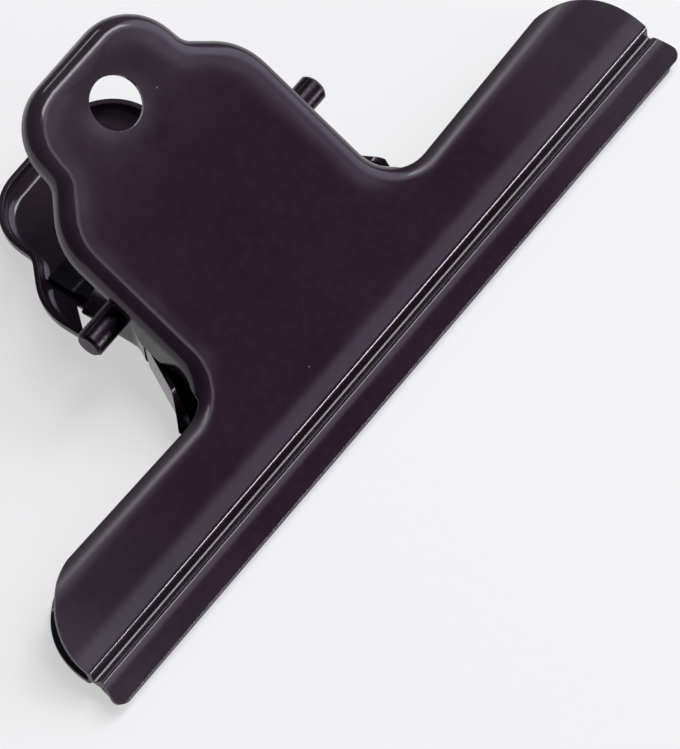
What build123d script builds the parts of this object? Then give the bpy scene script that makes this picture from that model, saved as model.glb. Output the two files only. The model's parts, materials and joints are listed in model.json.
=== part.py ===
from build123d import *
import math
import os

# Large pressed-steel bulldog clip: two lacquered plates, a hinge pin and a leaf spring.
# Millimetres, +Z up. Each plate is built in its own frame, outer face up at Z = 0, with X along
# the jaw and Y from the jaw towards the handle. The plates then lean away from the clip's
# mid-plane, and the closed clip is laid on its rear plate as on a table.

# Driving dimensions: sheet and jaw
JAW_LENGTH = 145.0
REAR_LIP_SETBACK = 1.6
REAR_WING_SETBACK = 2.0
SHEET = 0.8
PLATE_ANGLE = 17.0
FACE_OFFSET = 2.45
BEAD_GAP = 0.3
RIDGE_PLACE = 0.5
GROOVE_WIDTH = 1.8
GROOVE_FLOOR = 0.5
RIDGE_HEIGHT = 2.9
RIDGE_STEP = 0.25
KNEE_PLACE = 3.8
KNEE_RADIUS = 22.0
FOLD_RADIUS = 0.15
LIP_WIDTH = 4.9
LIP_SLOPE = 8.0
LIP_CURL = 18.0
LIP_RADIUS = 6.0
LIP_CORNER = 1.5

# Driving dimensions: plate outline, measured along the face from where it would meet the jaw
HANDLE_LENGTH = 65.5
HANDLE_END_WIDTH = 30.6
HANDLE_END_RADIUS = 10.0
HANDLE_FLARE = 0.9
SHOULDER_DROP = 12.2
SHOULDER_HOLLOW = 3.4
BODY_WIDTH = 46.4
BODY_RADIUS = 11.8
WING_HEIGHT = 12.95
WING_RISE = 1.4
WING_END_RADIUS = 13.0
WING_SETBACK = 1.1
WING_NOTCH = 0.4
EDGE_ALLOWANCE = 0.1
INNER_CORNER = 7.0
BEND_RADIUS = 3.0
FLANGE_DEPTH = 3.8
FLANGE_RUN = 7.0
FLANGE_WAIST = 7.6
FLANGE_FADE = 4.0
WING_ROLL = 1.25
HOLE_DIAMETER = 9.0
HOLE_SETBACK = 10.5

# Driving dimensions: hinge
PIN_DIAMETER = 4.8
PIN_LENGTH = 58.0
PIN_CHAMFER = 0.5
PIN_PLACE = 33.3
PIN_RISE = 3.2
RUNNING_CLEARANCE = 0.06
SEAT_CLEARANCE = 0.02
EAR_SPAN = 38.6
EAR_RIM = 1.8
EAR_FOOT_JAW = 3.0
EAR_FOOT_HANDLE = 10.8
EAR_NOTCH = 1.2
EAR_CLEARANCE = 0.35
WAIST_START = 0.5
WAIST_FLARE = 8.3
WAIST_WALL = 10.0
WAIST_CORNER = 4.0
RELIEF_WIDTH = 2.6
RELIEF_SLOPE = 50.0

# Driving dimensions: spring
SPRING_SHEET = 0.8
SPRING_WIDTH = 33.6
SPRING_REACH = 48.0
SPRING_PAD = 5.0
SPRING_PAD_RADIUS = 3.0
SPRING_BEND = 8.5
SPRING_LOOP = 10.7
SPRING_CLEARANCE = 0.25

# Values that follow from the driving dimensions
pin_radius = PIN_DIAMETER / 2
ear_radius = pin_radius + EAR_RIM
ear_half = EAR_SPAN / 2
front_ear_half = ear_half - SHEET - EAR_CLEARANCE
body_half = BODY_WIDTH / 2
jaw_half = JAW_LENGTH / 2
lean = math.radians(PLATE_ANGLE)
shoulder_place = HANDLE_LENGTH - SHOULDER_DROP
join_place = KNEE_PLACE * 1.6
reach = JAW_LENGTH * 0.65
far_corner = BEND_RADIUS + SHEET
wing_foot = WING_HEIGHT + 2 * SHEET
groove_wall = (GROOVE_WIDTH - GROOVE_FLOOR) / 2
groove_end = RIDGE_PLACE + GROOVE_WIDTH
ridge_two = RIDGE_HEIGHT - RIDGE_STEP
lip_mid = ridge_two - LIP_WIDTH / 2 * math.tan(math.radians(LIP_SLOPE))
lip_fall = math.tan(math.radians(LIP_SLOPE + LIP_CURL))
lip_tip = (-groove_end - LIP_WIDTH, lip_mid - LIP_WIDTH / 2 * lip_fall)


def to_plate(place, height):
    """Plate coordinates of a point given along and above the clip's mid-plane."""
    along = place * math.cos(lean) + (height - FACE_OFFSET) * math.sin(lean)
    above = -place * math.sin(lean) + (height - FACE_OFFSET) * math.cos(lean)
    return along, above


def to_clip(shape):
    """Lean a plate, built flat, to its angle above the clip's mid-plane."""
    return Pos(0, 0, FACE_OFFSET) * Rot(PLATE_ANGLE, 0, 0) * shape


def unit(start, end):
    """Unit vector from start to end."""
    length = math.dist(start, end)
    return (end[0] - start[0]) / length, (end[1] - start[1]) / length


def rounded_outline(corners):
    """Face of a closed polygon whose corners (x, y, radius) are rounded by tangent arcs."""
    count = len(corners)
    stops = []
    for index, (x, y, radius) in enumerate(corners):
        inward = unit(corners[index - 1][:2], (x, y))
        outward = unit((x, y), corners[(index + 1) % count][:2])
        cross = inward[0] * outward[1] - inward[1] * outward[0]
        turn = math.atan2(cross, inward[0] * outward[0] + inward[1] * outward[1])
        if radius == 0 or abs(turn) < 1e-6:
            stops.append([(x, y)])
            continue
        tangent = radius * math.tan(abs(turn) / 2)
        start = (x - inward[0] * tangent, y - inward[1] * tangent)
        end = (x + outward[0] * tangent, y + outward[1] * tangent)
        sag = radius / math.cos(turn / 2) - radius
        away = unit((0, 0), (outward[0] - inward[0], outward[1] - inward[1]))
        stops.append([start, (x + away[0] * sag, y + away[1] * sag), end])
    edges = []
    for index, stop in enumerate(stops):
        if len(stop) == 3:
            edges.append(ThreePointArc(*stop))
        following = stops[(index + 1) % count]
        if math.dist(stop[-1], following[0]) > 1e-6:
            edges.append(Line(stop[-1], following[0]))
    return make_face(edges)


def shifted(corners, distance):
    """Corners of a counter-clockwise outline moved inwards, arcs kept concentric."""
    count = len(corners)
    moved = []
    for index, (x, y, radius) in enumerate(corners):
        inward = unit(corners[index - 1][:2], (x, y))
        outward = unit((x, y), corners[(index + 1) % count][:2])
        cross = inward[0] * outward[1] - inward[1] * outward[0]
        scale = distance / (1 + inward[0] * outward[0] + inward[1] * outward[1])
        new_x = x - (inward[1] + outward[1]) * scale
        new_y = y + (inward[0] + outward[0]) * scale
        moved.append((new_x, new_y, radius - math.copysign(distance, cross)))
    return moved


def bent_sheet(path, thickness):
    """Face of a bent sheet's section: path holds (x, y, inside radius), sheet on its left side."""
    outer = []
    inner = []
    for index, (x, y, radius) in enumerate(path):
        first = index == 0
        last = index == len(path) - 1
        inward = unit((x, y), path[1][:2]) if first else unit(path[index - 1][:2], (x, y))
        outward = inward if last else unit((x, y), path[index + 1][:2])
        cross = inward[0] * outward[1] - inward[1] * outward[0]
        scale = thickness / (1 + inward[0] * outward[0] + inward[1] * outward[1])
        new_x = x - (inward[1] + outward[1]) * scale
        new_y = y + (inward[0] + outward[0]) * scale
        if first or last:
            outer.append((x, y, 0))
            inner.append((new_x, new_y, 0))
            continue
        outer.append((x, y, radius + thickness if cross > 0 else radius))
        inner.append((new_x, new_y, radius if cross > 0 else radius + thickness))
    return rounded_outline(outer + inner[::-1])


def along_jaw(section, half_width):
    """Solid of a section, drawn as (Y, Z), that runs half_width to both sides along X."""
    return extrude(Plane.YZ * section, half_width, both=True)


def mirrored_half(half):
    """Closed outline from its right half, listed from the lower corner up to the middle."""
    return half + [(-x, y, radius) for x, y, radius in reversed(half)]


def pan(corners, depth):
    """Flanged pan: a flat sheet whose rim is bent down with the bend radius."""
    outer = extrude(rounded_outline(corners), -depth)
    outer = fillet(outer.faces().sort_by(Axis.Z)[-1].edges(), BEND_RADIUS)
    inner = extrude(rounded_outline(shifted(corners, SHEET)), -depth)
    inner = fillet(inner.faces().sort_by(Axis.Z)[-1].edges(), BEND_RADIUS - SHEET)
    return outer - Pos(0, 0, -SHEET) * inner


def wing_top(across):
    """Height of a wing's rolled edge at a distance from the middle."""
    return WING_HEIGHT + (across - body_half) * math.tan(math.radians(WING_RISE))


def wing_corners(inner_half):
    """Right half of the wing bar before its edge is rolled, up to its inner corner."""
    roll_turn = math.acos(1 - WING_ROLL / BEND_RADIUS)
    roll = BEND_RADIUS * (1 - math.sin(roll_turn))
    return [
        (reach, -reach, far_corner),
        (reach, wing_top(reach) + roll, far_corner),
        (inner_half, wing_top(inner_half) + roll, INNER_CORNER),
    ]


def handle_corners():
    """Right half of the handle's outline, from the broad body to the handle's end."""
    end_half = HANDLE_END_WIDTH / 2
    shoulder_half = end_half + HANDLE_FLARE
    return [
        (body_half, shoulder_place - (body_half - shoulder_half), BODY_RADIUS),
        (shoulder_half, shoulder_place, SHOULDER_HOLLOW),
        (end_half, HANDLE_LENGTH, HANDLE_END_RADIUS),
    ]


def plan_block(lip_half, wing_half):
    """Plan of wings, lips and handle as a tall block, which cuts the jaw's ends to shape."""
    handle_half = body_half + 2 * INNER_CORNER
    lip_end = to_plate(*lip_tip)[0]
    half = [
        (lip_half, lip_end, LIP_CORNER),
        (wing_half - WING_NOTCH, -groove_end, WING_NOTCH),
        (wing_half, 0.0, WING_NOTCH),
        (wing_half, wing_top(wing_half) + EDGE_ALLOWANCE, WING_END_RADIUS),
        (handle_half, wing_top(handle_half) + EDGE_ALLOWANCE, 0),
        (handle_half, reach, 0),
    ]
    return extrude(rounded_outline(mirrored_half(half)), reach, both=True)


def jaw_strip():
    """Gripping edge of a plate: ridge, groove whose floor is the bead, and curled lip."""
    floor = BEAD_GAP / 2 + SHEET
    run_out = SHEET
    path = [
        (join_place * math.cos(lean), FACE_OFFSET + join_place * math.sin(lean), 0),
        (KNEE_PLACE * math.cos(lean), FACE_OFFSET + KNEE_PLACE * math.sin(lean), KNEE_RADIUS),
        (-RIDGE_PLACE, RIDGE_HEIGHT, FOLD_RADIUS),
        (-RIDGE_PLACE - groove_wall, floor, FOLD_RADIUS),
        (groove_wall - groove_end, floor, FOLD_RADIUS),
        (-groove_end, ridge_two, FOLD_RADIUS),
        (-groove_end - LIP_WIDTH / 2, lip_mid, LIP_RADIUS),
        (lip_tip[0] - run_out, lip_tip[1] - run_out * lip_fall, 0),
    ]
    return along_jaw(bent_sheet(path, SHEET), jaw_half + SHEET)


def plate_body(rims, plan):
    """Join a plate's rims to its jaw, cut both to the plan and cut the hanging hole."""
    upper = Pos(0, join_place + reach, 0) * Box(4 * reach, 2 * reach, 2 * reach)
    hole = Pos(0, HANDLE_LENGTH - HOLE_SETBACK, 0) * Cylinder(HOLE_DIAMETER / 2, 4 * SHEET)
    return to_clip((rims & upper & plan) - hole) + (jaw_strip() & to_clip(plan))


def pin_bore(clearance):
    """Bore of the hinge pin, right through, in the clip's mid-plane frame."""
    bore = Rot(0, 90, 0) * Cylinder(pin_radius + clearance, 2 * PIN_LENGTH)
    return Pos(0, PIN_PLACE, PIN_RISE) * bore


def flanged_rim():
    """Rim with the handle's outline: a flange, deepest at the waist, that fades to the wings' roll."""
    rim = pan(mirrored_half(wing_corners(body_half) + handle_corners()), FLANGE_WAIST + SHEET)
    fade_end = to_plate(PIN_PLACE, PIN_RISE)[0] - EAR_RIM
    kept = rounded_outline([
        (-reach, SHEET, 0),
        (-reach, -WING_ROLL, 0),
        (wing_foot, -WING_ROLL, SHEET),
        (wing_foot + FLANGE_RUN, -FLANGE_WAIST, BEND_RADIUS),
        (fade_end - FLANGE_FADE, -FLANGE_WAIST, BEND_RADIUS),
        (fade_end, -FLANGE_DEPTH, BEND_RADIUS),
        (reach, -FLANGE_DEPTH, 0),
        (reach, SHEET, 0),
    ])
    return rim & along_jaw(kept, 2 * reach)


def front_ear():
    """Left ear of the front plate: a tab joggled inwards from the rim and rounded round the pin."""
    along, above = to_plate(PIN_PLACE, PIN_RISE)
    shelf = FLANGE_DEPTH + SHEET
    path = [
        (-body_half, -BEND_RADIUS, 0),
        (-body_half, -shelf, FOLD_RADIUS),
        (-front_ear_half, -shelf, FOLD_RADIUS),
        (-front_ear_half, above - 2 * ear_radius, 0),
    ]
    tab = extrude(Plane.XZ * bent_sheet(path, SHEET), reach, both=True)
    rounding = ear_radius - EDGE_ALLOWANCE
    side = rounded_outline([
        (along - ear_radius, 0, 0),
        (along - ear_radius, above - ear_radius, rounding),
        (along + ear_radius, above - ear_radius, rounding),
        (along + ear_radius, 0, 0),
    ])
    return to_clip(tab & along_jaw(side, reach))


def make_front_plate():
    """Front plate: jaw, smooth face, flanged handle and two ears inside the rear plate's ears."""
    ear = front_ear()
    plan = plan_block(jaw_half, jaw_half - WING_SETBACK)
    plate = plate_body(flanged_rim(), plan) + ear + mirror(ear, about=Plane.YZ)
    return plate - pin_bore(RUNNING_CLEARANCE)


def rear_side():
    """Side view of the rear waist that is kept: wing roll, waist wall, and ear round the pin."""
    along, above = to_plate(PIN_PLACE, -PIN_RISE)
    foot_jaw = along - EAR_FOOT_JAW
    foot_handle = along + EAR_FOOT_HANDLE
    wall_end = foot_jaw - EAR_NOTCH
    rounding = ear_radius - EDGE_ALLOWANCE
    ear = rounded_outline([
        (foot_jaw, SHEET, 0),
        (foot_jaw, -2 * SHEET, 0),
        (along - ear_radius, above - ear_radius, rounding),
        (along + ear_radius, above - ear_radius, rounding),
        (foot_handle, -BEND_RADIUS, 0),
        (foot_handle, SHEET, 0),
    ])
    wall = rounded_outline([
        (-reach, SHEET, 0),
        (-reach, -WING_ROLL, 0),
        (wing_foot, -WING_ROLL, SHEET),
        (wing_foot + EAR_NOTCH, -WAIST_WALL, 2 * SHEET),
        (wall_end, -WAIST_WALL, 2 * SHEET),
        (wall_end, -2 * SHEET, 0),
        (foot_jaw + SHEET, -2 * SHEET, 0),
        (foot_jaw + SHEET, SHEET, 0),
    ])
    return along_jaw(ear, 2 * reach) + along_jaw(wall, 2 * reach)


def make_rear_plate():
    """Rear plate: the handle of the front plate, and a narrower waist that carries the ears."""
    along = to_plate(PIN_PLACE, -PIN_RISE)[0]
    slot_half = ear_half - 2 * SHEET
    slot_place = along + EAR_FOOT_HANDLE
    slot_end = slot_place + RELIEF_WIDTH - (reach - slot_half) * math.tan(math.radians(RELIEF_SLOPE))
    handle_plan = rounded_outline(mirrored_half([
        (slot_half, slot_place - SHEET, 0),
        (slot_half, slot_place + RELIEF_WIDTH, 0),
        (reach, slot_end, 0),
        (reach, reach, 0),
    ]))
    waist_plan = rounded_outline(mirrored_half([
        (2 * reach, -2 * reach, 0),
        (2 * reach, slot_place - EAR_RIM, 0),
        (slot_half, slot_place, 0),
    ]))
    waist_half = wing_corners(ear_half + WAIST_FLARE) + [
        (ear_half, along - WAIST_START, WAIST_CORNER),
        (ear_half, reach, far_corner),
    ]
    waist = pan(mirrored_half(waist_half), reach) & rear_side()
    rims = flanged_rim() & extrude(handle_plan, reach, both=True)
    rims = rims + (waist & extrude(waist_plan, 2 * reach, both=True))
    plan = plan_block(jaw_half - REAR_LIP_SETBACK, jaw_half - REAR_WING_SETBACK)
    return mirror(plate_body(rims, plan), about=Plane.XY) - pin_bore(SEAT_CLEARANCE)


def make_hinge_pin():
    """Hinge pin with chamfered ends, which stands out past both sides."""
    pin = Rot(0, 90, 0) * Cylinder(pin_radius, PIN_LENGTH)
    pin = chamfer(pin.edges().filter_by(GeomType.CIRCLE), PIN_CHAMFER)
    return Pos(0, PIN_PLACE, PIN_RISE) * pin


def make_spring():
    """Leaf spring: one strip bent round the jaw side of the pin, its pads against the handles."""
    web = FACE_OFFSET - SHEET / math.cos(lean) - SPRING_CLEARANCE
    heel = SPRING_REACH - SPRING_PAD
    heel_height = web + heel * math.tan(lean)
    tip_height = web + SPRING_REACH * math.tan(lean)
    apex = PIN_PLACE - pin_radius - SPRING_CLEARANCE - SPRING_SHEET
    loop_top = PIN_RISE + SPRING_LOOP * 0.47
    inside_bend = SPRING_BEND - SPRING_SHEET
    path = [
        (SPRING_REACH, tip_height, 0),
        (heel, heel_height, SPRING_PAD_RADIUS),
        (apex, loop_top, inside_bend),
        (apex, loop_top - SPRING_LOOP, inside_bend),
        (heel, -heel_height, SPRING_PAD_RADIUS),
        (SPRING_REACH, -tip_height, 0),
    ]
    return along_jaw(bent_sheet(path, SPRING_SHEET), SPRING_WIDTH / 2)


def rest_angle():
    """Turn about X that brings the rear lip and the rear handle's end onto one level."""
    end_place = HANDLE_LENGTH - BEND_RADIUS
    end_along = end_place * math.cos(lean) + BEND_RADIUS * math.sin(lean)
    end_height = FACE_OFFSET + end_place * math.sin(lean) - BEND_RADIUS * math.cos(lean)
    run = end_along - lip_tip[0]
    rise = end_height - lip_tip[1]
    return math.degrees(math.atan2(rise, run) + math.asin(BEND_RADIUS / math.hypot(run, rise)))


def main():
    """Build the pieces, lay the closed clip on its rear plate, and write one file for each."""
    pieces = {
        "front_plate": make_front_plate(),
        "rear_plate": make_rear_plate(),
        "hinge_pin": make_hinge_pin(),
        "spring": make_spring(),
    }
    laid = {name: Rot(rest_angle(), 0, 0) * piece for name, piece in pieces.items()}
    boxes = [piece.bounding_box() for piece in laid.values()]
    front = min(box.min.Y for box in boxes)
    back = max(box.max.Y for box in boxes)
    low = min(box.min.Z for box in boxes)
    os.makedirs("parts", exist_ok=True)
    for name, piece in laid.items():
        placed = Pos(0, -(front + back) / 2, -low) * piece
        export_step(placed, os.path.join("parts", name + ".step"))


if __name__ == "__main__":
    main()
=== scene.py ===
"""Looks of a large black-lacquered bulldog clip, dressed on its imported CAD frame."""

import json
import logging
import math
from collections.abc import Callable
from dataclasses import dataclass
from enum import Enum
from typing import Any

import bmesh
import bpy
import numpy as np
from mathutils import Matrix, Vector
from mathutils.geometry import delaunay_2d_cdt
from mathutils.kdtree import KDTree


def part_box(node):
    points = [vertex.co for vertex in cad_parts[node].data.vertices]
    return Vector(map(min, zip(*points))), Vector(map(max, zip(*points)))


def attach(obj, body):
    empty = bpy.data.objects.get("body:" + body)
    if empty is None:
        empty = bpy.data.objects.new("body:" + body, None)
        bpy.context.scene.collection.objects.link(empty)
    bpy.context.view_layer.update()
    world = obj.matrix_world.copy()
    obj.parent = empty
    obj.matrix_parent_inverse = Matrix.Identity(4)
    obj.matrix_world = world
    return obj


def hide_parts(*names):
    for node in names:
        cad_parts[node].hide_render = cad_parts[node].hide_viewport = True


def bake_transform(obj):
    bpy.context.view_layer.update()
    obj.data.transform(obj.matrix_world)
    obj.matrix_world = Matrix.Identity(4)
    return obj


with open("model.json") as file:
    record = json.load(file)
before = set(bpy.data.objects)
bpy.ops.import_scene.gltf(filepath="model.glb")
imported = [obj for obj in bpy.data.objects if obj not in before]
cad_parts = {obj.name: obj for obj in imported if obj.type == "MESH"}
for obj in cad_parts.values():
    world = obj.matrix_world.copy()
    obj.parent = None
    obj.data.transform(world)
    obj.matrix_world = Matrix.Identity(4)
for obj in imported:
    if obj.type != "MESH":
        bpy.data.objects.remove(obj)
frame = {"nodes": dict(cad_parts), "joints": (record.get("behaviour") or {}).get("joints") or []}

log = logging.getLogger("bulldog_clip")

MM = 0.001
BEVEL_SAMPLES = 6
# Cosines between the rounded and the true normal where an edge mask starts and where it is full
EDGE_TURN = (0.985, 0.85)
Colour = tuple[float, float, float]
Point = tuple[float, float, float]
Span = tuple[float, float]
Socket = bpy.types.NodeSocket


class Body(Enum):
    """The clip's two moving bodies, as the record names them."""

    REAR = "rear"
    FRONT = "front"


class Slot(Enum):
    """The record's material slots."""

    LACQUER = "lacquer"
    PIN_STEEL = "pin_steel"
    SPRING_STEEL = "spring_steel"


class TreeBuilder:
    """A node tree under construction."""

    def __init__(self, tree: bpy.types.NodeTree) -> None:
        """Start with an empty tree.

        Args:
            tree: Node tree of a material, a world or a form.
        """
        self.tree = tree
        self.tree.nodes.clear()

    def add(self, kind: str, inputs: dict[Any, Any] | None = None, **settings: Any) -> bpy.types.Node:
        """Add a node.

        Args:
            kind: Blender's name of the node type.
            inputs: Values or output sockets for the node's inputs, by name or place.
            settings: Values for the node's own properties.

        Returns:
            The new node.
        """
        node = self.tree.nodes.new(kind)
        for key, value in settings.items():
            setattr(node, key, value)
        for key, value in (inputs or {}).items():
            if isinstance(value, Socket):
                self.tree.links.new(value, node.inputs[key])
            else:
                node.inputs[key].default_value = value
        return node


class ShaderTree(TreeBuilder):
    """The tree of a material or a world, with short calls for what they are made of."""

    def stretch(self, value: Socket, span: Span, result: Span = (0.0, 1.0)) -> Socket:
        """Stretch a value from one span to another and hold it there.

        Args:
            value: Socket that gives the value.
            span: The two values that become the ends of the result.
            result: Ends of the result.

        Returns:
            The socket of the stretched value.
        """
        inputs = {
            "Value": value,
            "From Min": span[0],
            "From Max": span[1],
            "To Min": result[0],
            "To Max": result[1],
        }
        return self.add("ShaderNodeMapRange", inputs, clamp=True).outputs["Result"]

    def fade(self, direction: Socket, axis: Point, full_deg: float, none_deg: float) -> Socket:
        """Soft round patch of directions: 1 near an axis and 0 away from it, or the reverse.

        Args:
            direction: Socket of the direction.
            axis: Middle of the patch.
            full_deg: Angle from the axis where the result is 1.
            none_deg: Angle from the axis where the result is 0.

        Returns:
            The socket of the patch.
        """
        inputs = {
            "Value": self.dot(direction, Vector(axis).normalized()),
            "From Min": math.cos(math.radians(none_deg)),
            "From Max": math.cos(math.radians(full_deg)),
        }
        patch = self.add("ShaderNodeMapRange", inputs, interpolation_type="SMOOTHSTEP")
        return patch.outputs["Result"]

    def dot(self, first: Any, second: Any) -> Socket:
        """Dot product of two vectors.

        Args:
            first: First vector or socket.
            second: Second vector or socket.

        Returns:
            The socket of the product.
        """
        node = self.add("ShaderNodeVectorMath", {0: first, 1: second}, operation="DOT_PRODUCT")
        return node.outputs["Value"]

    def calculate(self, operation: str, first: Any, second: Any) -> Socket:
        """Join two values by a sum, product or comparison.

        Args:
            operation: Blender's name of the operation.
            first: First value or socket.
            second: Second value or socket.

        Returns:
            The socket of the result.
        """
        return self.add("ShaderNodeMath", {0: first, 1: second}, operation=operation).outputs["Value"]

    def mix(self, factor: Socket, first: Any, second: Any) -> Socket:
        """Mix two colours.

        Args:
            factor: Socket that gives the share of the second colour.
            first: Colour or socket at factor 0.
            second: Colour or socket at factor 1.

        Returns:
            The socket of the mixed colour.
        """
        node = self.add("ShaderNodeMix", {"Factor": factor}, data_type="RGBA")
        for socket, value in ((node.inputs[6], first), (node.inputs[7], second)):
            if isinstance(value, Socket):
                self.tree.links.new(value, socket)
            else:
                socket.default_value = (*value, 1.0)
        return node.outputs[2]

    def place(self) -> Socket:
        """Socket of the object's own coordinates."""
        return self.add("ShaderNodeTexCoord").outputs["Object"]

    def part(self, vector: Socket, axis: str) -> Socket:
        """Socket of one part of a vector: X, Y or Z."""
        return self.add("ShaderNodeSeparateXYZ", {"Vector": vector}).outputs[axis]

    def rounding(self, radius: float) -> Socket:
        """Normal of the piece with its edges rounded off.

        Args:
            radius: Radius of the rounding in metres.

        Returns:
            The socket of the normal.
        """
        node = self.add("ShaderNodeBevel", {"Radius": radius}, samples=BEVEL_SAMPLES)
        return node.outputs["Normal"]

    def noise(self, size: float, detail: float = 3.0) -> Socket:
        """Cloudy noise in the object's own coordinates.

        Args:
            size: Size of the clouds in metres.
            detail: Number of finer layers.

        Returns:
            The socket of the noise value.
        """
        inputs = {"Vector": self.place(), "Scale": 1 / size, "Detail": detail}
        return self.add("ShaderNodeTexNoise", inputs).outputs["Fac"]

    def edges(self, rounding: Socket) -> Socket:
        """Mask of a piece's edges: 1 where the rounded normal turns away from the true one.

        Args:
            rounding: Socket of the rounded normal.

        Returns:
            The socket of the mask.
        """
        true_normal = self.add("ShaderNodeNewGeometry").outputs["Normal"]
        return self.stretch(self.dot(rounding, true_normal), EDGE_TURN)

    def finish(self, surface: dict[str, Any]) -> None:
        """End a material in its shader.

        Args:
            surface: Values or sockets for the shader's inputs.
        """
        shader = self.add("ShaderNodeBsdfPrincipled", surface)
        self.add("ShaderNodeOutputMaterial", {"Surface": shader.outputs["BSDF"]})


def new_material(name: str) -> tuple[bpy.types.Material, ShaderTree]:
    """Start a node material.

    Args:
        name: Name of the material.

    Returns:
        The material and its empty tree.
    """
    material = bpy.data.materials.new(name)
    material.use_nodes = True
    return material, ShaderTree(material.node_tree)


@dataclass(frozen=True)
class Lacquer:
    """Black stoving lacquer with a plum cast: soft gloss, faint orange peel, dust and some painted light.

    Its lighter edges are partly rubbed wear and partly a painted edge highlight, and its light film
    towards the wing ends and the handle is partly dust and partly a painted sheen. A field that ends in
    span gives the noise values between which an effect grows. The pairs of lengths are places on the clip
    between which it grows, and dust_edge is in shares of dust_spacing.
    """

    deep: Colour = (0.0160, 0.0074, 0.0138)
    lit: Colour = (0.0275, 0.0134, 0.0238)
    # Edge colour: partly rubbed wear, partly a painted edge highlight.
    rubbed_and_highlight: Colour = (0.0900, 0.0700, 0.0880)
    # Colour of the dust specks and of the light film, which is partly a painted sheen.
    dust_and_sheen: Colour = (0.1600, 0.1500, 0.1600)
    cloud_size: float = 18 * MM
    cloud_span: Span = (0.3, 0.75)
    cloud_share: float = 0.55
    mottle_size: float = 1.4 * MM
    mottle_span: Span = (0.3, 0.7)
    mottle_share: float = 0.45
    edge_radius: float = 0.2 * MM
    # Noise span and shares of the lighter edges, which are partly wear and partly a painted highlight.
    wear_span: Span = (0.3, 0.6)
    wear_share: Span = (0.2, 0.9)
    dust_spacing: float = 5.5 * MM
    dust_share: float = 0.3
    dust_edge: Span = (0.034, 0.018)
    # Light film: partly dust, partly a painted sheen towards the wing ends and the handle.
    film_share: float = 0.11
    film_wings: Span = (34 * MM, 70 * MM)
    film_handle: Span = (0 * MM, 24 * MM)
    film_span: Span = (0.25, 0.75)
    film_patches: Span = (0.6, 1.4)
    peel_size: float = 0.9 * MM
    peel_height: float = 0.0018 * MM
    peel_detail: float = 2.0
    gloss_size: float = 7.2 * MM
    gloss_span: Span = (0.3, 0.7)
    gloss_roughness: Span = (0.11, 0.17)
    specular: float = 0.44
    plate_up: Point = (0.0, 0.8356, 0.5494)
    roll_edge: Span = (-13 * MM, -9.4 * MM)
    roll_wings: Span = (24 * MM, 29 * MM)
    roll_roughness: float = 0.5

    def colour(self, tree: ShaderTree, edge: Socket) -> Socket:
        """Colour of the lacquer: clouds, mottle, lighter edges (wear and painted highlight), a film (dust
        and painted sheen) and specks of dust.

        Args:
            tree: Tree of the material.
            edge: Socket of the edge mask.

        Returns:
            The socket of the colour.
        """
        cloud = tree.noise(self.cloud_size)
        mottle = tree.noise(self.mottle_size)
        patches = tree.stretch(cloud, self.cloud_span, (0.0, self.cloud_share))
        spots = tree.stretch(mottle, self.mottle_span, (0.0, self.mottle_share))
        base = tree.mix(tree.calculate("ADD", patches, spots), self.deep, self.lit)
        wear = tree.stretch(mottle, self.wear_span, self.wear_share)
        # Lighter edges: partly rubbed wear, partly a painted edge highlight.
        base = tree.mix(tree.calculate("MULTIPLY", edge, wear), base, self.rubbed_and_highlight)
        # Light film towards the wing ends and the handle: partly dust, partly a painted sheen.
        base = tree.mix(self.dust_and_sheen_film(tree, cloud), base, self.dust_and_sheen)
        return tree.mix(self.specks(tree), base, self.dust_and_sheen)

    def specks(self, tree: ShaderTree) -> Socket:
        """Mask of the single specks of dust, which lie in some cells of a loose grid.

        Args:
            tree: Tree of the material.

        Returns:
            The socket of the mask.
        """
        cells = {"Vector": tree.place(), "Scale": 1 / self.dust_spacing}
        grain = tree.add("ShaderNodeTexVoronoi", cells).outputs
        chance = tree.add("ShaderNodeSeparateColor", {"Color": grain["Color"]}).outputs["Red"]
        chosen = tree.calculate("LESS_THAN", chance, self.dust_share)
        return tree.calculate("MULTIPLY", tree.stretch(grain["Distance"], self.dust_edge), chosen)

    def dust_and_sheen_film(self, tree: ShaderTree, cloud: Socket) -> Socket:
        """Share of the light film, partly dust and partly a painted sheen, which grows towards the wing
        ends and the handle.

        Args:
            tree: Tree of the material.
            cloud: Socket of the cloudy noise that breaks the film up.

        Returns:
            The socket of the film's share.
        """
        sideways = tree.calculate("ABSOLUTE", tree.part(tree.place(), "X"), 0.0)
        wings = tree.stretch(sideways, self.film_wings, (0.0, self.film_share))
        upwards = tree.part(tree.place(), "Y")
        handle = tree.stretch(upwards, self.film_handle, (0.0, self.film_share))
        patches = tree.stretch(cloud, self.film_span, self.film_patches)
        return tree.calculate("MULTIPLY", tree.calculate("ADD", wings, handle), patches)

    def dulled(self, tree: ShaderTree) -> Socket:
        """Roughness of the front wings' rolled edge, which is rubbed dull, and 0 elsewhere.

        Args:
            tree: Tree of the material.

        Returns:
            The socket of the roughness.
        """
        sideways = tree.calculate("ABSOLUTE", tree.part(tree.place(), "X"), 0.0)
        wings = tree.stretch(sideways, self.roll_wings)
        upwards = tree.dot(tree.place(), self.plate_up)
        edge = tree.stretch(upwards, self.roll_edge, (0.0, self.roll_roughness))
        return tree.calculate("MULTIPLY", wings, edge)

    def build(self) -> bpy.types.Material:
        """Make the material.

        Returns:
            The lacquer material.
        """
        material, tree = new_material("black_lacquer")
        rounding = tree.rounding(self.edge_radius)
        peel = {
            "Height": tree.noise(self.peel_size, self.peel_detail),
            "Distance": self.peel_height,
            "Strength": 1.0,
            "Normal": rounding,
        }
        gloss = tree.stretch(tree.noise(self.gloss_size), self.gloss_span, self.gloss_roughness)
        surface = {
            "Base Color": self.colour(tree, tree.edges(rounding)),
            "Roughness": tree.calculate("MAXIMUM", gloss, self.dulled(tree)),
            "Normal": tree.add("ShaderNodeBump", peel).outputs["Normal"],
            "Specular IOR Level": self.specular,
        }
        tree.finish(surface)
        return material


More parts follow.
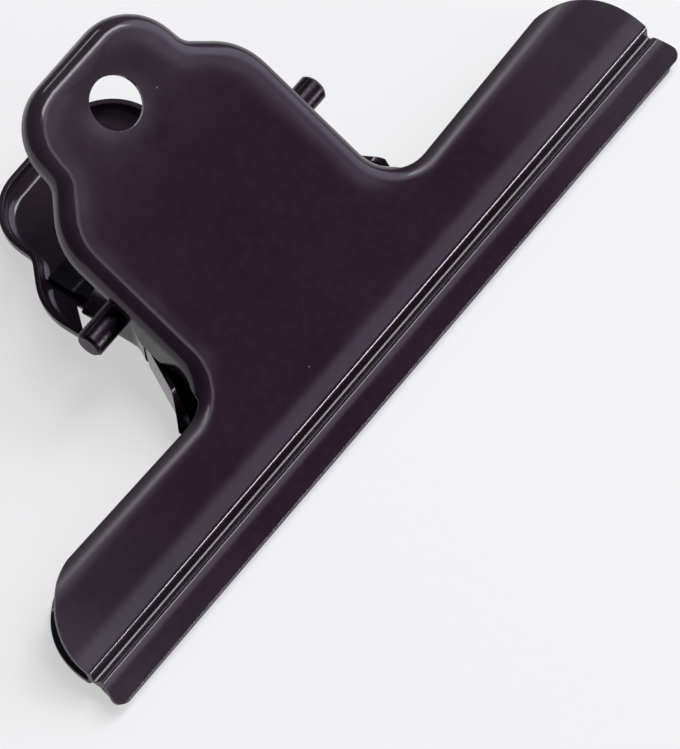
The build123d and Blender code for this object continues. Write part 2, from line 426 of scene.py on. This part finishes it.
@dataclass(frozen=True)
class DarkSteel:
    """Blackened steel with fine lines along one direction and brighter rubbed edges."""

    name: str
    base: Colour
    dull: Colour
    bare: Colour
    line_spacing: Point
    line_detail: float = 4.0
    line_height: float = 0.003 * MM
    line_strength: float = 0.7
    line_span: Span = (0.3, 0.7)
    line_roughness: Span = (0.26, 0.42)
    cloud_size: float = 5 * MM
    cloud_span: Span = (0.35, 0.7)
    edge_radius: float = 0.15 * MM
    wear_span: Span = (0.3, 0.6)
    wear_share: Span = (0.3, 1.0)

    def build(self) -> bpy.types.Material:
        """Make the material.

        Returns:
            The steel material.
        """
        material, tree = new_material(self.name)
        rounding = tree.rounding(self.edge_radius)
        scale = [1 / spacing for spacing in self.line_spacing]
        drawn = tree.add("ShaderNodeMapping", {"Vector": tree.place(), "Scale": scale})
        noise = {"Vector": drawn.outputs["Vector"], "Scale": 1.0, "Detail": self.line_detail}
        lines = tree.add("ShaderNodeTexNoise", noise).outputs["Fac"]
        cloud = tree.noise(self.cloud_size)
        colour = tree.mix(tree.stretch(cloud, self.cloud_span), self.base, self.dull)
        wear = tree.stretch(cloud, self.wear_span, self.wear_share)
        worn = tree.calculate("MULTIPLY", tree.edges(rounding), wear)
        relief = {
            "Height": lines,
            "Distance": self.line_height,
            "Strength": self.line_strength,
            "Normal": rounding,
        }
        surface = {
            "Base Color": tree.mix(worn, colour, self.bare),
            "Metallic": 1.0,
            "Roughness": tree.stretch(lines, self.line_span, self.line_roughness),
            "Normal": tree.add("ShaderNodeBump", relief).outputs["Normal"],
        }
        tree.finish(surface)
        return material


class FormTree(TreeBuilder):
    """A Geometry Nodes tree with named sizes that turns an object's own path into a form."""

    def __init__(self, name: str, sizes: dict[str, float], finish: bpy.types.Material) -> None:
        """Start a tree with its inputs.

        Args:
            name: Name of the tree.
            sizes: Named sizes in metres, which become the tree's inputs.
            finish: Material of the form.
        """
        super().__init__(bpy.data.node_groups.new(name, "GeometryNodeTree"))
        self.sizes = sizes
        self.finish = finish
        sockets = self.tree.interface
        sockets.new_socket("Geometry", in_out="INPUT", socket_type="NodeSocketGeometry")
        sockets.new_socket("Geometry", in_out="OUTPUT", socket_type="NodeSocketGeometry")
        for size in sizes:
            sockets.new_socket(size, in_out="INPUT", socket_type="NodeSocketFloat")
        self.given = self.add("NodeGroupInput").outputs

    def path(self) -> Socket:
        """Socket of the object's own edges as a curve."""
        return self.add("GeometryNodeMeshToCurve", {"Mesh": self.given["Geometry"]}).outputs["Curve"]

    def stored(self, name: str) -> Socket:
        """Socket of a number that is stored at each point of the path.

        Args:
            name: Name of the stored number.

        Returns:
            The socket of the number.
        """
        node = self.add("GeometryNodeInputNamedAttribute", {"Name": name}, data_type="FLOAT")
        return node.outputs["Attribute"]

    def close(self, form: Socket) -> None:
        """Realise the form, give it its material and join it to the output.

        Args:
            form: Socket of the finished form.
        """
        real = self.add("GeometryNodeRealizeInstances", {"Geometry": form}).outputs["Geometry"]
        dressed = self.add("GeometryNodeSetMaterial", {"Geometry": real, "Material": self.finish})
        self.add("NodeGroupOutput", {"Geometry": dressed.outputs["Geometry"]})

    def shape(self, piece: bpy.types.Object) -> None:
        """Turn the piece's path into the form as a plain mesh.

        Args:
            piece: Object whose mesh is the path.
        """
        modifier = piece.modifiers.new(self.tree.name, "NODES")
        modifier.node_group = self.tree
        for socket in self.tree.interface.items_tree:
            if socket.in_out == "INPUT" and socket.name in self.sizes:
                modifier[socket.identifier] = self.sizes[socket.name]
        bake_modifiers(piece)


def bake_modifiers(piece: bpy.types.Object) -> None:
    """Turn a piece's modifiers into its plain mesh.

    Args:
        piece: Object whose modifiers are applied and removed.
    """
    bpy.context.view_layer.update()
    graph = bpy.context.evaluated_depsgraph_get()
    mesh = bpy.data.meshes.new_from_object(piece.evaluated_get(graph))
    piece.modifiers.clear()
    piece.data = mesh


def soften(
    mesh: bpy.types.Mesh,
    weld: float,
    crease_deg: float,
    press: Callable[[bmesh.types.BMesh], None] | None = None,
) -> None:
    """Weld a mesh's seams and shade it smooth but for its sharp edges.

    Args:
        mesh: Mesh to change.
        weld: Distance below which points become one, in metres.
        crease_deg: Angle between faces above which an edge stays sharp.
        press: Call that shapes the welded mesh before it is shaded.
    """
    shell = bmesh.new()
    shell.from_mesh(mesh)
    bmesh.ops.remove_doubles(shell, verts=shell.verts, dist=weld)
    if press:
        press(shell)
    bmesh.ops.recalc_face_normals(shell, faces=shell.faces)
    crease = math.radians(crease_deg)
    for face in shell.faces:
        face.smooth = True
    for edge in shell.edges:
        edge.smooth = edge.calc_face_angle(math.pi) < crease
    shell.to_mesh(mesh)
    shell.free()


@dataclass(frozen=True)
class FlatMap:
    """Flat coordinates on a plate's face, in millimetres along the jaw and up the plate."""

    normal: Vector
    level: float

    def up(self) -> Vector:
        """Direction up the plate."""
        return self.normal.cross(Vector((1, 0, 0)))

    def spot(self, place: Vector) -> Vector:
        """Flat coordinates of a point, with 0 as the third."""
        return Vector((place.x, place.dot(self.up()), 0)) / MM

    def place(self, spot: Vector) -> Vector:
        """Point on the face at flat coordinates."""
        along = Vector((spot.x * MM, 0, 0))
        return along + self.up() * (spot.y * MM) + self.normal * self.level


@dataclass
class Crown:
    """Soft crown of a pressed face, which rises from its folds and its hole towards the middle.

    It is full at its reach from a fold, and fades out towards the bend before the jaw.
    """

    looks: Point
    height: float = 0.32 * MM
    reach: float = 5.5 * MM
    grid: float = 1.2 * MM
    fold_step: float = 0.05 * MM
    jaw_line: float = -25.0 * MM
    jaw_fade: float = 10.0 * MM
    flatness: float = 0.01 * MM
    facing_limit: float = 0.9

    def face(self, shell: bmesh.types.BMesh) -> tuple[FlatMap, list[bmesh.types.BMFace]]:
        """Find the flat face that looks the crown's way.

        Args:
            shell: Welded mesh of the plate.

        Returns:
            The face's flat coordinates and its triangles.
        """
        looks = Vector(self.looks).normalized()
        facing = [face for face in shell.faces if face.normal.dot(looks) > self.facing_limit]
        largest = max(facing, key=lambda face: face.calc_area())
        flat = FlatMap(largest.normal.copy(), largest.verts[0].co.dot(largest.normal))
        members = []
        for face in shell.faces:
            heights = [corner.co.dot(flat.normal) - flat.level for corner in face.verts]
            if max(abs(height) for height in heights) < self.flatness:
                members.append(face)
        return flat, members

    def folds(self, rim: list[bmesh.types.BMEdge]) -> KDTree:
        """Gather points along the folds and round the hole, leaving out the bend before the jaw.

        Args:
            rim: Edges round the flat face.

        Returns:
            The points, ready for a search.
        """
        points = []
        for edge in rim:
            start, end = (corner.co for corner in edge.verts)
            if max(start.y, end.y) > self.jaw_line:
                steps = max(1, round((end - start).length / self.fold_step))
                points.extend(start.lerp(end, step / steps) for step in range(steps + 1))
        tree = KDTree(len(points))
        for index, point in enumerate(points):
            tree.insert(point, index)
        tree.balance()
        return tree

    def rise(self, place: Vector, folds: KDTree) -> float:
        """Height of the crown over the flat face.

        Args:
            place: Point on the flat face.
            folds: Points along the face's folds and round its hole.

        Returns:
            The height in metres.
        """
        nearness = max(0.0, 1 - folds.find(place)[2] / self.reach)
        fade = min(1.0, max(0.0, (place.y - self.jaw_line) / self.jaw_fade))
        return self.height * (1 - nearness**2) * fade * fade * (3 - 2 * fade)

    def spread(self, rim: list[tuple[Vector, Vector]]) -> list[Vector]:
        """Spread an even grid of spots over the flat face.

        Args:
            rim: Edges round the face in flat coordinates.

        Returns:
            The grid's spots that lie on the face.
        """
        step = self.grid / MM
        ends = [spot for edge in rim for spot in edge]
        low = Vector((min(spot.x for spot in ends), min(spot.y for spot in ends), 0))
        high = Vector((max(spot.x for spot in ends), max(spot.y for spot in ends), 0))
        spots = []
        for row in range(int((high.y - low.y) / step)):
            for column in range(int((high.x - low.x) / step)):
                spots.append(low + Vector((column + 0.5 * (row % 2), row + 0.5, 0)) * step)
        return [spot for spot, within in zip(spots, lies_within(spots, rim)) if within]

    def press(self, shell: bmesh.types.BMesh) -> None:
        """Divide the flat face into an even grid and raise it.

        Args:
            shell: Welded mesh of the plate.
        """
        flat, members = self.face(shell)
        rim = edges_round(shell, members)
        folds = self.folds(rim)
        corners = list({corner: None for edge in rim for corner in edge.verts})
        order = {corner: index for index, corner in enumerate(corners)}
        links = [(order[edge.verts[0]], order[edge.verts[1]]) for edge in rim]
        spots = [flat.spot(corner.co) for corner in corners]
        outline = [(spots[start], spots[end]) for start, end in links]
        bmesh.ops.delete(shell, geom=members, context="FACES")
        for spot in self.spread(outline):
            if folds.find(flat.place(spot))[2] > self.grid / 2:
                spots.append(spot)
                corners.append(shell.verts.new(flat.place(spot)))
        flat_spots = [spot.to_2d() for spot in spots]
        cells, origin = delaunay_2d_cdt(flat_spots, links, [], 0, self.flatness)[2:4]
        trios = [[origin[corner][0] for corner in cell] for cell in cells]
        middles = [sum((spots[index] for index in trio), Vector()) / 3 for trio in trios]
        for trio, within in zip(trios, lies_within(middles, outline)):
            if within:
                shell.faces.new([corners[index] for index in trio])
        for corner in corners:
            corner.co += flat.normal * self.rise(corner.co, folds)


def edges_round(
    shell: bmesh.types.BMesh, members: list[bmesh.types.BMFace]
) -> list[bmesh.types.BMEdge]:
    """Find the edges round a patch of faces, those of its holes among them.

    Args:
        shell: Mesh that holds the patch.
        members: Faces of the patch.

    Returns:
        The edges that have just one face in the patch.
    """
    inside = set(members)
    return [edge for edge in shell.edges if sum(face in inside for face in edge.link_faces) == 1]


def lies_within(spots: list[Vector], rim: list[tuple[Vector, Vector]]) -> np.ndarray:
    """Tell which spots lie within an outline, by counting the edges beside each.

    Args:
        spots: Flat spots.
        rim: Edges of the outline, holes among them.

    Returns:
        True for each spot within the outline.
    """
    across = np.array([spot.x for spot in spots])
    along = np.array([spot.y for spot in spots])
    within = np.zeros(len(spots), dtype=bool)
    for start, end in rim:
        if start.y != end.y:
            beside = (start.y > along) != (end.y > along)
            crossing = start.x + (end.x - start.x) * (along - start.y) / (end.y - start.y)
            within ^= beside & (across < crossing)
    return within


def new_path(name: str, stations: list[tuple[Vector, float]], stored: str) -> bpy.types.Mesh:
    """Make a path of straight edges that carries a number at each of its points.

    Args:
        name: Name of the path.
        stations: Points of the path with their numbers.
        stored: Name under which the numbers are stored.

    Returns:
        The path's mesh.
    """
    mesh = bpy.data.meshes.new(name)
    links = [(index, index + 1) for index in range(len(stations) - 1)]
    mesh.from_pydata([point for point, _ in stations], links, [])
    numbers = mesh.attributes.new(stored, "FLOAT", "POINT")
    for item, (_, number) in zip(numbers.data, stations):
        item.value = number
    return mesh


def new_piece(name: str, mesh: bpy.types.Mesh) -> bpy.types.Object:
    """Put a mesh into the scene as a named piece.

    Args:
        name: Name of the piece.
        mesh: Mesh of the piece.

    Returns:
        The piece's object.
    """
    piece = bpy.data.objects.new(name, mesh)
    bpy.context.scene.collection.objects.link(piece)
    return piece


@dataclass
class PressedPlate:
    """One pressed plate: the CAD shape with welded seams, smooth bends and crisp sheet edges."""

    node: str
    body: Body
    crown: Crown
    weld: float = 0.001 * MM
    crease_deg: float = 30.0

    def build(self, finish: bpy.types.Material) -> bpy.types.Object:
        """Make the dressed plate in place of its CAD node.

        Args:
            finish: Material of the whole plate.

        Returns:
            The plate's object.
        """
        mesh = frame["nodes"][self.node].data.copy()
        soften(mesh, self.weld, self.crease_deg, self.crown.press)
        mesh.materials.clear()
        mesh.materials.append(finish)
        plate = new_piece(self.node + "_pressing", mesh)
        normals = plate.modifiers.new("face_weighted_normals", "WEIGHTED_NORMAL")
        normals.keep_sharp = True
        bake_modifiers(plate)
        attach(plate, self.body.value)
        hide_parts(self.node)
        return plate


@dataclass
class HingePin:
    """Round hinge pin with chamfered ends, turned along the jaw's direction."""

    node: str = "hinge_pin"
    chamfer: float = 0.5 * MM
    sides: int = 72
    weld: float = 0.005 * MM
    crease_deg: float = 30.0

    def build(self, finish: bpy.types.Material) -> bpy.types.Object:
        """Make the pin in place of its CAD node.

        Args:
            finish: Material of the pin.

        Returns:
            The pin's object.
        """
        low, high = (Vector(corner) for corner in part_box(self.node))
        middle = (low + high) / 2
        radius = (high.z - low.z) / 2
        profile = (
            (low.x, radius - self.chamfer),
            (low.x + self.chamfer, radius),
            (high.x - self.chamfer, radius),
            (high.x, radius - self.chamfer),
        )
        stations = [(Vector((place, middle.y, middle.z)), size) for place, size in profile]
        pin = new_piece("turned_hinge_pin", new_path("pin_axis", stations, "turned_radius"))
        tree = FormTree("turned_pin", {"Profile Radius": 1.0}, finish)
        circle = {"Resolution": self.sides, "Radius": tree.given["Profile Radius"]}
        sweep = {
            "Curve": tree.path(),
            "Profile Curve": tree.add("GeometryNodeCurvePrimitiveCircle", circle).outputs["Curve"],
            "Scale": tree.stored("turned_radius"),
            "Fill Caps": True,
        }
        tree.close(tree.add("GeometryNodeCurveToMesh", sweep).outputs["Mesh"])
        tree.shape(pin)
        soften(pin.data, self.weld, self.crease_deg)
        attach(pin, Body.REAR.value)
        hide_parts(self.node)
        return pin


@dataclass
class LeafSpring:
    """Leaf spring: one strip bent round the jaw side of the pin, its pads against the handles.

    Places are given along and above the mid-plane of the closed clip, which lies at lay_deg to the floor.
    """

    node: str = "spring"
    width: float = 33.6 * MM
    sheet: float = 0.8 * MM
    pin_place: float = 33.3 * MM
    pin_rise: float = 3.2 * MM
    plate_lean_deg: float = 17.0
    lay_deg: float = 16.323
    web: float = 1.363 * MM
    pad_tip: float = 48.0 * MM
    pad_heel: float = 43.0 * MM
    pad_radius: float = 3.8 * MM
    loop_place: float = 29.85 * MM
    loop_top: float = 8.229 * MM
    loop_height: float = 10.7 * MM
    loop_radius: float = 8.5 * MM
    arc_steps: int = 14
    weld: float = 0.0008 * MM
    crease_deg: float = 30.0

    def placed(self, along: float, above: float) -> Vector:
        """Place of a point given along and above the clip's mid-plane.

        Args:
            along: Distance from the jaw's bead towards the handles.
            above: Height above the mid-plane.

        Returns:
            The point in the frame's own coordinates.
        """
        hinge = Vector(frame["joints"][0]["pos_m"])
        arm = Vector((0, along - self.pin_place, above - self.pin_rise))
        return hinge + Matrix.Rotation(math.radians(self.lay_deg), 3, "X") @ arm

    def route(self) -> list[tuple[Vector, float]]:
        """Lay out the strip's outer side from the front pad to the rear pad.

        Returns:
            The corners with their bend radii.
        """
        rise = math.tan(math.radians(self.plate_lean_deg))
        tip = self.web + self.pad_tip * rise
        heel = self.web + self.pad_heel * rise
        return [
            (self.placed(self.pad_tip, tip), 0.0),
            (self.placed(self.pad_heel, heel), self.pad_radius),
            (self.placed(self.loop_place, self.loop_top), self.loop_radius),
            (self.placed(self.loop_place, self.loop_top - self.loop_height), self.loop_radius),
            (self.placed(self.pad_heel, -heel), self.pad_radius),
            (self.placed(self.pad_tip, -tip), 0.0),
        ]

    def build(self, finish: bpy.types.Material) -> bpy.types.Object:
        """Make the spring, bent between the plates, in place of its CAD node.

        Args:
            finish: Material of the spring.

        Returns:
            The spring's object.
        """
        path = new_path("spring_route", self.route(), "bend_radius")
        spring = new_piece("bent_leaf_spring", path)
        tree = FormTree("bent_strip", {"Width": self.width, "Sheet": self.sheet}, finish)
        bends = {
            "Curve": tree.path(),
            "Count": self.arc_steps,
            "Radius": tree.stored("bend_radius"),
        }
        bent = tree.add("GeometryNodeFilletCurve", bends, mode="POLY").outputs["Curve"]
        strip = {"Width": tree.given["Width"], "Height": tree.given["Sheet"]}
        section = tree.add("GeometryNodeCurvePrimitiveQuadrilateral", strip).outputs["Curve"]
        half = tree.add("ShaderNodeMath", {0: tree.given["Sheet"], 1: 0.5}, operation="MULTIPLY")
        inward = tree.add("ShaderNodeCombineXYZ", {"Y": half.outputs["Value"]}).outputs["Vector"]
        shift = {"Geometry": section, "Translation": inward}
        section = tree.add("GeometryNodeTransform", shift).outputs["Geometry"]
        sweep = {"Curve": bent, "Profile Curve": section, "Fill Caps": True}
        tree.close(tree.add("GeometryNodeCurveToMesh", sweep).outputs["Mesh"])
        tree.shape(spring)
        soften(spring.data, self.weld, self.crease_deg)
        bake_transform(spring)
        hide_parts(self.node)
        return spring


@dataclass(frozen=True)
class SoftBox:
    """Rectangular soft lamp that faces the clip."""

    name: str
    towards: Point
    wide_side: Point
    distance: float
    wide: float
    tall: float
    brightness: float

    def build(self) -> bpy.types.Object:
        """Make the lamp.

        Returns:
            The lamp's object.
        """
        light = bpy.data.lights.new(self.name, "AREA")
        light.shape = "RECTANGLE"
        light.size = self.wide
        light.size_y = self.tall
        light.energy = self.brightness * math.pi * self.wide * self.tall
        lamp = bpy.data.objects.new(self.name, light)
        bpy.context.scene.collection.objects.link(lamp)
        away = Vector(self.towards).normalized()
        across = Vector(self.wide_side)
        across = (across - away * across.dot(away)).normalized()
        turned = Matrix((across, away.cross(across), away)).transposed().to_4x4()
        lamp.matrix_world = Matrix.Translation(away * self.distance) @ turned
        return lamp


@dataclass
class Studio:
    """White studio: pale floor, soft lamps, graded surroundings and the photograph's camera.

    The screen, the window and the camera are set by angles in degrees. The wall heights and the screen's
    foot are the upward part of a direction of length 1, and the sensor is in millimetres.
    """

    floor_size: float = 8.0
    floor_colour: Colour = (0.95, 0.96, 0.92)
    floor_white: float = 0.55
    room_colour: Colour = (0.82, 0.79, 1.0)
    wall_heights: Span = (0.05, 0.5)
    wall_light: Span = (0.15, 0.06)
    screen_middle: Point = (0.365, -0.626, 0.690)
    screen_inner: Span = (8.5, 18.5)
    screen_outer: Span = (23.0, 31.0)
    screen_foot: Span = (0.5, 0.64)
    screen_light: float = 2.3
    window_middle: Point = (0.82, -0.25, 0.50)
    window_edge: Span = (18.0, 30.0)
    window_light: float = 2.3
    camera_azimuth: float = -43.429
    camera_elevation: float = 57.961
    camera_roll: float = 10.552
    camera_distance: float = 2.1823
    camera_aim: Point = (-4.087 * MM, -26.872 * MM, 0.0)
    focal_pixels: float = 14000.0
    image_height: float = 749.0
    sensor: float = 36.0

    def lamps(self) -> tuple[SoftBox, ...]:
        """Set out the soft lamps round the clip.

        Returns:
            The lamps.
        """
        key = SoftBox(
            name="key_soft_box",
            towards=(0.365, -0.10, 0.925),
            wide_side=(1, 0, 0),
            distance=1.3,
            wide=0.9,
            tall=0.3,
            brightness=9.5,
        )
        handle = SoftBox(
            name="handle_strip",
            towards=(0.36, 0.69, 0.63),
            wide_side=(1, 0, 0),
            distance=1.3,
            wide=0.26,
            tall=0.14,
            brightness=6.0,
        )
        jaw = SoftBox(
            name="jaw_strip",
            towards=(0.365, -0.925, 0.1),
            wide_side=(0.925, 0.365, 0),
            distance=1.2,
            wide=0.22,
            tall=0.2,
            brightness=38.0,
        )
        return key, handle, jaw

    def build(self) -> None:
        """Make floor, world, lamps and camera."""
        self.build_floor()
        self.build_world()
        for lamp in self.lamps():
            lamp.build()
        self.build_camera()

    def build_floor(self) -> None:
        """Make the pale floor: near white to the eye and in reflections, with the clip's soft shadow."""
        half = self.floor_size / 2
        mesh = bpy.data.meshes.new("floor")
        corners = [(-half, -half, 0), (half, -half, 0), (half, half, 0), (-half, half, 0)]
        mesh.from_pydata(corners, [], [(0, 1, 2, 3)])
        material, tree = new_material("white_floor")
        paper = tree.add("ShaderNodeBsdfDiffuse", {"Color": (*self.floor_colour, 1.0)})
        white = tree.add("ShaderNodeEmission", {"Strength": 1.0})
        rays = tree.add("ShaderNodeLightPath").outputs
        seen = tree.calculate("MAXIMUM", rays["Is Camera Ray"], rays["Is Glossy Ray"])
        seen = tree.calculate("MAXIMUM", seen, rays["Is Transmission Ray"])
        share = tree.calculate("MULTIPLY", seen, self.floor_white)
        surface = tree.add("ShaderNodeMixShader", {0: share, 1: paper.outputs[0], 2: white.outputs[0]})
        tree.add("ShaderNodeOutputMaterial", {"Surface": surface.outputs[0]})
        mesh.materials.append(material)
        new_piece("floor", mesh)

    def build_world(self) -> None:
        """Make the surroundings: dim walls, a ring-shaped screen and a side window, all soft."""
        world = bpy.data.worlds.new("graded_room")
        bpy.context.scene.world = world
        world.use_nodes = True
        tree = ShaderTree(world.node_tree)
        direction = tree.add("ShaderNodeTexCoord").outputs["Generated"]
        height = tree.part(direction, "Z")
        walls = tree.stretch(height, self.wall_heights, self.wall_light)
        dark, bright = self.screen_inner
        opening = tree.fade(direction, self.screen_middle, bright, dark)
        border = tree.fade(direction, self.screen_middle, *self.screen_outer)
        screen = tree.calculate("MULTIPLY", opening, border)
        screen = tree.calculate("MULTIPLY", screen, tree.stretch(height, self.screen_foot))
        screen = tree.calculate("MULTIPLY", screen, self.screen_light)
        window = tree.fade(direction, self.window_middle, *self.window_edge)
        window = tree.calculate("MULTIPLY", window, self.window_light)
        glow = tree.calculate("MAXIMUM", screen, window)
        room = tree.add("ShaderNodeBackground", {"Strength": tree.calculate("ADD", walls, glow)})
        room.inputs["Color"].default_value = (*self.room_colour, 1.0)
        tree.add("ShaderNodeOutputWorld", {"Surface": room.outputs[0]})

    def build_camera(self) -> None:
        """Make the camera at the photograph's angle."""
        turn = math.radians(self.camera_azimuth)
        rise = math.radians(self.camera_elevation)
        lean = math.radians(self.camera_roll)
        ground = Vector((math.sin(turn), -math.cos(turn), 0))
        back = ground * math.cos(rise) + Vector((0, 0, math.sin(rise)))
        level = Vector((math.cos(turn), math.sin(turn), 0))
        up = back.cross(level) * math.cos(lean) + level * math.sin(lean)
        turned = Matrix((up.cross(back), up, back)).transposed().to_4x4()
        data = bpy.data.cameras.new("photo_camera")
        data.sensor_width = self.sensor
        data.lens = self.focal_pixels / self.image_height * self.sensor
        camera = bpy.data.objects.new("photo_camera", data)
        bpy.context.scene.collection.objects.link(camera)
        stand = Vector(self.camera_aim) + back * self.camera_distance
        camera.matrix_world = Matrix.Translation(stand) @ turned
        bpy.context.scene.camera = camera
        bpy.context.scene.view_settings.view_transform = "Standard"


def main() -> None:
    """Dress every piece, light the studio and set the camera."""
    logging.basicConfig(level=logging.INFO, format="%(name)s: %(message)s")
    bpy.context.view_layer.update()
    lacquer = Lacquer().build()
    pin_steel = DarkSteel(
        name="black_pin_steel",
        base=(0.034, 0.026, 0.034),
        dull=(0.020, 0.015, 0.020),
        bare=(0.16, 0.14, 0.16),
        line_spacing=(0.3 * MM, 2 * MM, 2 * MM),
    ).build()
    spring_steel = DarkSteel(
        name="blued_spring_steel",
        base=(0.030, 0.027, 0.034),
        dull=(0.018, 0.015, 0.020),
        bare=(0.16, 0.15, 0.16),
        line_spacing=(0.3 * MM, 6 * MM, 6 * MM),
    ).build()
    pieces = [
        PressedPlate("front_plate", Body.FRONT, Crown((0, -0.55, 0.84))).build(lacquer),
        PressedPlate("rear_plate", Body.REAR, Crown((0, 0, -1))).build(lacquer),
        HingePin().build(pin_steel),
        LeafSpring().build(spring_steel),
    ]
    for piece in pieces:
        log.info("%s: %d faces", piece.name, len(piece.data.polygons))
    Studio().build()


if __name__ == "__main__":
    main()
